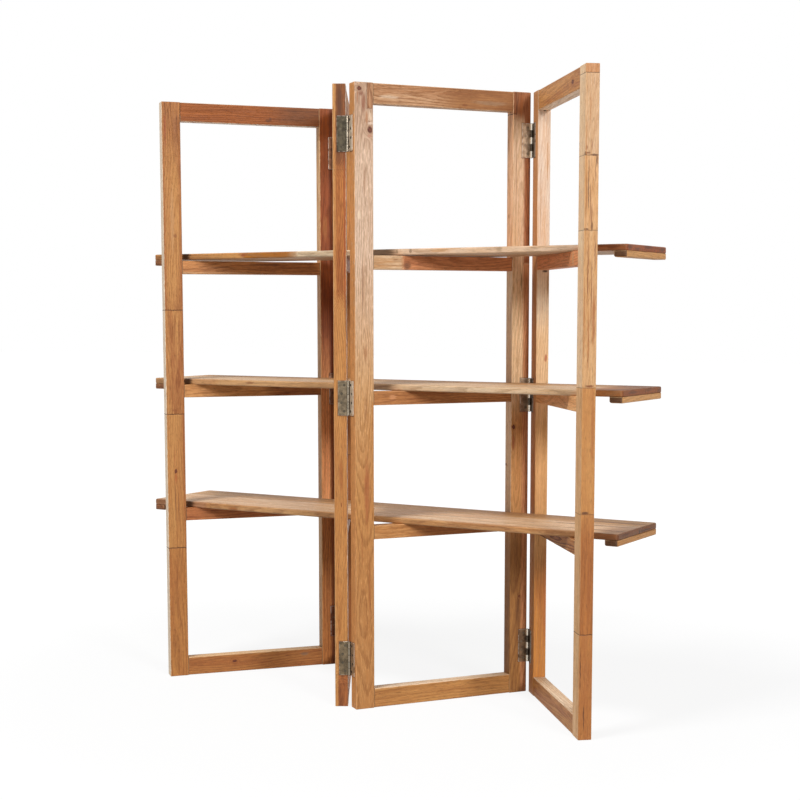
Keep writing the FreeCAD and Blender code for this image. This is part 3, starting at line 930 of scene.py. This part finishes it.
# %% Lower board
BOARDS["lower"] = recipe(
    25.0, (234, 202, 164), (208, 158, 110), lime=0.3, wear=0.15, figure=0.45, fleck=0.45, end=(82, 40, 8),
    heart=(30, 26), lean=(0.02, 0.01), line=(140, 92, 58),
    blocks=[
        ((-PAST, 46, OUT), (PAST, PAST, TOP), (224, 180, 130), HONEY, 1, 0.8, 2),
        front(-PAST, -600, (170, 98, 56), CHESTNUT, 20),
        front(-600, 700, (178, 120, 46), (162, 96, 30), 20),
        # Painted shadow: past x 700 the front edge is darker, where frame d's near upright shades it.
        front(700, PAST, (134, 84, 48), UMBER, shift=3),
    ],
    marks=[
        # Painted shadow: the dark patch at x -670 lies where frame a's left upright shades the edge.
        *on_front(9, (-670, 549, 22, 18, SOOT_AND_SHADE, 0.8), (-500, 545, 22, 7, RUSSET, 0.7), y=EDGE),
        *on_side(
            797, (75, 547, 56, 1.8, SOOT_AND_SHADE, 0.9), (24, 546, 5, 8, SOOT_AND_SHADE, 0.9),
            (-70, 552, 40, 4, (64, 34, 20), 0.7),
        ),
        *on_top(
            558, (250, -20, 170, 4, UMBER, 0.6), (430, -80, 200, 4, UMBER, 0.5),
            (700, -70, 120, 8, UMBER, 0.8), (660, 10, 170, 8, UMBER, 0.8), (700, 90, 120, 10, UMBER, 0.7),
            (-420, -60, 190, 5, RUSSET, 0.5), (-300, 20, 150, 5, RUSSET, 0.5),
            (770, -40, 70, 90, CHESTNUT, 0.4),
        ),
    ],
)
print("boards:", *BOARDS)


# %% Finish the boards
def in_millimetres(name):
    return [Vector(corner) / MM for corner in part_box(name)]


def finish_board(level):
    name = f"{level}_shelf_board"
    low, high = in_millimetres(name)
    material, shader, build = new_material(name)
    centre, half = (low + high) / 2, (high - low) / 2
    wood = timber(build, own_place(build), "board", centre, half, BOARDS[level])
    dress(name, material, shader, *wood)


for level in BOARDS:
    finish_board(level)
print("finished", len(BOARDS), "boards")

# %% [markdown]
# Under each board end a batten of plainer wood is fixed across. The two battens of a board share one
# node. Two boxes could tell them apart, but folding x about the node's middle lays one over the
# other, and one recipe does both.

# %% Finish the battens
BATTEN_TONES = {
    "lower": ((192, 138, 84), (186, 128, 68)), "middle": ((214, 160, 104), HONEY),
    "upper": ((214, 158, 100), HONEY),
}
BATTEN_ENDS = ((128, 82, 54), (60, 37, 25))
BATTEN = (38, 285, 17)


def finish_battens(level):
    name = f"{level}_shelf_end_battens"
    low, high = in_millimetres(name)
    material, shader, build = new_material(name)
    x, y, z = own_place(build).parts()
    aside = x - (low.x + high.x) / 2
    reach = (high.x - low.x - BATTEN[0]) / 2
    place = build.join(aside.maths("ABSOLUTE", aside) - reach, y, z)
    centre = (0, (low.y + high.y) / 2, (low.z + high.z) / 2)
    light, dark = BATTEN_TONES[level]
    end = build.mix(aside.maths("GREATER_THAN", aside, 0.0), *BATTEN_ENDS)
    look = recipe(BOARDS[level]["seed"] + 0.6, light, dark, end=end)
    wood = timber(build, place, "batten", centre, Vector(BATTEN) / 2, look)
    dress(name, material, shader, *wood)


for level in BATTEN_TONES:
    finish_battens(level)
print("finished", 2 * len(BATTEN_TONES), "battens")

# %% [markdown]
# ## Hinges and screws
# The hinges are pressed from a soft grey metal that has darkened unevenly, with bright rubbed edges
# and brown tarnish. Grey paint could stand for it, but metal takes its look from what it mirrors. So
# the tone goes in Base Color of a metallic surface and the dull patches in Roughness. Each leaf's own
# tones also carry painted reflection: pale on leaves facing bright space, dark on those facing dark parts.

# %% Metal tones
# Painted reflection: each leaf's pale and dark tones follow what that leaf faces, bright or dark.
LEAF_TONES_AND_REFLECTIONS = {
    "b_c_on_b": ((94, 85, 68), (60, 54, 44)),
    "b_c_on_c": ((244, 228, 204), (212, 188, 160)),
    "middle_b_c_on_b": ((138, 122, 98), (92, 80, 64)),
    "bottom_b_c_on_c": ((206, 166, 126), (146, 116, 88)),
    "bottom_b_c_on_b": ((132, 114, 88), (84, 72, 56)),
    "c_d_on_c": ((200, 174, 146), (152, 126, 102)),
    "bottom_c_d_on_c": ((176, 144, 112), (116, 92, 72)),
    "c_d_on_d": ((96, 82, 66), (48, 40, 32)),
    "a_b_on_a": ((150, 108, 82), (112, 78, 58)),
    "bottom_a_b_on_a": ((120, 72, 48), (90, 52, 34)),
    "a_b_on_b": ((108, 96, 78), (64, 56, 46)),
}
SCREW_TONES = {
    "a": ((130, 96, 74), (90, 62, 46)), "b": ((106, 96, 80), (76, 68, 56)),
    "c": ((80, 68, 56), (44, 36, 30)), "d": ((80, 68, 56), (44, 36, 30)),
}
RUBBED_SCREW = (150, 130, 108)
PIN_TONES = ((190, 182, 168), (96, 86, 74))
BRIGHT = (226, 218, 204)
TARNISH = (92, 58, 38)
BARREL = (148, 138, 122)
# Painted highlight and shade: the c-d barrels are bright on frame c's knuckles and dark on frame d's.
BARREL_HIGHLIGHT_AND_SHADE = {"c_d_on_c": (250, 242, 226), "c_d_on_d": (84, 74, 62)}


# %% Mottled metal
def metal(build, place, light, dark, seed):
    """Pale and dark patches, with brown tarnish in the darkest specks."""
    where = build.vector("ADD", place, (seed * 31, seed * 17, seed * 9))
    cloud = build.node("ShaderNodeTexNoise", None, {"Vector": where, "Scale": 0.09, "Detail": 4.0})
    speck = build.node("ShaderNodeTexNoise", None, {"Vector": where, "Scale": 0.55, "Detail": 3.0})
    colour = build.mix((cloud + speck * 0.35).fade(0.45, 0.9), dark, light)
    colour = build.mix(speck.fade(0.58, 0.74) * 0.35, colour, TARNISH)
    return colour, cloud, speck


# %% Parts of a hinge
KNUCKLE = 20
KNUCKLE_GAP = (9.2, 9.7)
BARREL_SIDE = (4.7, 4.3)
BARREL_SHADE_REACH = (10.0, 7.0)
RIM = (1.4, 0.2)
PIN = 4.25
PIN_SPOTS = {
    "a_right": (FRAME_WIDTH + 1, -PIN), "b_left": (-1, -PIN),
    "b_right": (FRAME_WIDTH + PIN, STILE[1] + PIN), "c_left": (-PIN, STILE[1] + PIN),
    "c_right": (FRAME_WIDTH + 1, -PIN), "d_left": (-1, -PIN),
}


def hinge_rise(z):
    """Height above or below the middle of the nearest hinge."""
    rises = [z.maths("ABSOLUTE", z - height) for height in HINGE_HEIGHTS]
    return z.maths("MINIMUM", z.maths("MINIMUM", rises[0], rises[1]), rises[2])


def leaf_rim(place, seat):
    """Distance from a leaf's nearest free edge: an end, or the side away from the barrel."""
    x, y, z = place.parts()
    x0, x1, y0, y1 = seat
    on_narrow_face = x1 - x0 < LEAF[0] - 1
    across, low, high = (y, y0, y1) if on_narrow_face else (x, x0, x1)
    far_side = high if high < LEAF[0] else low
    return x.maths("MINIMUM", x.maths("ABSOLUTE", across - far_side), LEAF[1] / 2 - hinge_rise(z))


def barrel_gaps(place, pin):
    """Distance from the pin, and distance along it from the middle of a knuckle."""
    x, y, z = place.parts()
    from_pin = place.vector("LENGTH", place.join(x - pin[0], y - pin[1], 0.0), output=1)
    turn = (hinge_rise(z) + KNUCKLE / 2) / KNUCKLE
    return from_pin, z.maths("ABSOLUTE", z.maths("FRACT", turn) - 0.5) * KNUCKLE


print("knuckles are", KNUCKLE, "mm long")

# %% Finish the hinge leaves
LEAF_BUMP = {"Distance": 0.0004, "Strength": 0.6}


def finish_leaf(name):
    first, second, level, letter = [name.split("_")[k] for k in (1, 2, 3, 6)]
    member = f"{letter}_left" if letter == second else f"{letter}_right"
    leaf = f"{first}_{second}_on_{letter}"
    light, dark = LEAF_TONES_AND_REFLECTIONS.get(f"{level}_{leaf}", LEAF_TONES_AND_REFLECTIONS[leaf])
    material, shader, build = new_material(name)
    place = own_place(build, *FRAMES[letter])
    colour, cloud, speck = metal(build, place, light, dark, len(level) + ord(letter) * 0.3)
    rim = leaf_rim(place, LEAF_SEATS[member])
    colour = build.mix(rim.fade(*RIM) * cloud.fade(0.35, 0.55) * 0.7, colour, BRIGHT)
    from_pin, from_middle = barrel_gaps(place, PIN_SPOTS[member])
    # Painted shade: on frame c's left upright each leaf darkens in a band beside the barrel, which shades
    # it.
    if member == "c_left":
        corner = from_pin.fade(*reversed(BARREL_SIDE)) * from_pin.fade(*BARREL_SHADE_REACH)
        colour = build.mix(corner * 0.8, colour, SOOT_AND_SHADE)
    on_barrel = from_pin.fade(*BARREL_SIDE)
    colour = build.mix(on_barrel * 0.85, colour, BARREL_HIGHLIGHT_AND_SHADE.get(leaf, BARREL))
    colour = build.mix(on_barrel * from_middle.fade(*KNUCKLE_GAP), colour, SOOT_AND_SHADE)
    height = cloud * 0.4 + speck * 0.5
    shader.inputs["Metallic"].default_value = 0.8
    link(shader, "Base Color", colour)
    link(shader, "Roughness", speck * 0.3 + 0.28 - on_barrel * 0.16)
    link(shader, "Normal", build.node("ShaderNodeBump", None, {"Height": height, **LEAF_BUMP}))
    put_on(NODES[name], material)


leaves = [name for name in NODES if "_leaf_on_" in name]
for name in leaves:
    finish_leaf(name)
print("finished", len(leaves), "hinge leaves")

# %% [markdown]
# Screws and pins are of harder, smoother steel. They could have a metal of their own, but they
# darkened in the same air, so they share the mottled pattern with other tones.

# %% Finish the screws and pins
def finish_fixings(name, letter, light, dark, seed):
    """Steel for screws or pins. The screws at the right edge of frame c are brighter."""
    material, shader, build = new_material(name)
    place = own_place(build, *FRAMES[letter])
    colour, _, speck = metal(build, place, light, dark, seed)
    if name == "frame_c_hinge_screws":
        colour = build.mix(place.parts()[0].fade(200, 360), colour, RUBBED_SCREW)
    shader.inputs["Metallic"].default_value = 0.85
    link(shader, "Base Color", colour)
    link(shader, "Roughness", speck * 0.25 + 0.3)
    put_on(NODES[name], material)


for name in NODES:
    if name.endswith("_hinge_screws"):
        finish_fixings(name, name[6], *SCREW_TONES[name[6]], ord(name[6]) * 0.7)
    elif name.endswith("_pins"):
        finish_fixings(name, name[6], *PIN_TONES, ord(name[6]) * 0.4)
print("finished the screws and pins")

# %% [markdown]
# ## Floor and light
# White studio paper all round would light the wood from every side and wash out its colours. So the
# floor and the world look white only to the camera and in the metal, and light the wood less. A
# little of what the camera sees of the floor is matt, which keeps a trace of the shadow.

# %% Rays that see the background
def eye_or_mirror(build):
    """1 for rays that see the background, straight or in a reflection, and 0 for light on the wood."""
    rays = build.node("ShaderNodeLightPath").socket.node.outputs
    kinds = ("Is Camera Ray", "Is Glossy Ray", "Is Transmission Ray")
    first, second, third = (Shade(build.tree, rays[kind]) for kind in kinds)
    return first.maths("ADD", first + second, third, clamp=True)


# %% Floor
FLOOR_BOUNCE = 0.45
SHADOW_SHARE = 0.11
NEAR_GLOW = 0.88
GLOW_EDGE = (0.9, 3.0)


def grey(level):
    return level, level, level, 1


def make_floor():
    bpy.ops.object.select_all(action="DESELECT")
    bpy.ops.mesh.primitive_plane_add(size=60, location=(0, 0, 0))
    floor = bpy.context.object
    floor.name = "studio_floor"
    material, shader, build = new_material("studio_floor")
    shader.inputs["Base Color"].default_value = grey(FLOOR_BOUNCE)
    shader.inputs["Roughness"].default_value = 0.9
    spot = build.node("ShaderNodeTexCoord", None, None, "Object")
    distance = build.vector("LENGTH", spot, output=1)
    glow = build.mix(distance.fade(*GLOW_EDGE), grey(NEAR_GLOW), grey(1))
    matt = build.node("ShaderNodeBsdfDiffuse", None, {"Color": grey(SHADOW_SHARE)})
    shine = build.node("ShaderNodeEmission", None, {"Color": glow})
    both = build.node("ShaderNodeAddShader", None, {0: matt, 1: shine})
    plain = Shade(build.tree, shader.outputs[0])
    inputs = {0: eye_or_mirror(build), 1: plain, 2: both}
    pick = build.node("ShaderNodeMixShader", None, inputs)
    link(build.tree.nodes["Material Output"], "Surface", pick)
    put_on(floor, material)
    print("staged", floor.name)


make_floor()

# %% World
SKY = 0.28


def make_world():
    world = bpy.data.worlds.new("studio")
    bpy.context.scene.world = world
    world.use_nodes = True
    background = world.node_tree.nodes["Background"]
    background.inputs["Color"].default_value = grey(1)
    link(background, "Strength", eye_or_mirror(Shade(world.node_tree)) * (1 - SKY) + SKY)
    print("world lights the wood at", SKY)


make_world()

# %% [markdown]
# Two large square lamps stand for soft boxes. One could light the front, but the frames face two
# ways. So one high on the left throws the shadows down to the right, and one at the right lights the
# faces that turn that way.

# %% Lamps
LAMP_SIZE = 1.9
AIM = Vector((0, 0, 0.9))


def make_lamp(name, place, power):
    lamp = bpy.data.lights.new(name, "AREA")
    lamp.shape = "SQUARE"
    lamp.size = LAMP_SIZE
    lamp.energy = power
    thing = bpy.data.objects.new(name, lamp)
    thing.location = place
    thing.rotation_euler = (AIM - Vector(place)).to_track_quat("-Z", "Y").to_euler()
    bpy.context.scene.collection.objects.link(thing)
    print("lamp", name, power, "watts")


make_lamp("key", (-1.28, -4.27, 8.7), 560)
make_lamp("side", (7.4, -4.5, 3.6), 430)
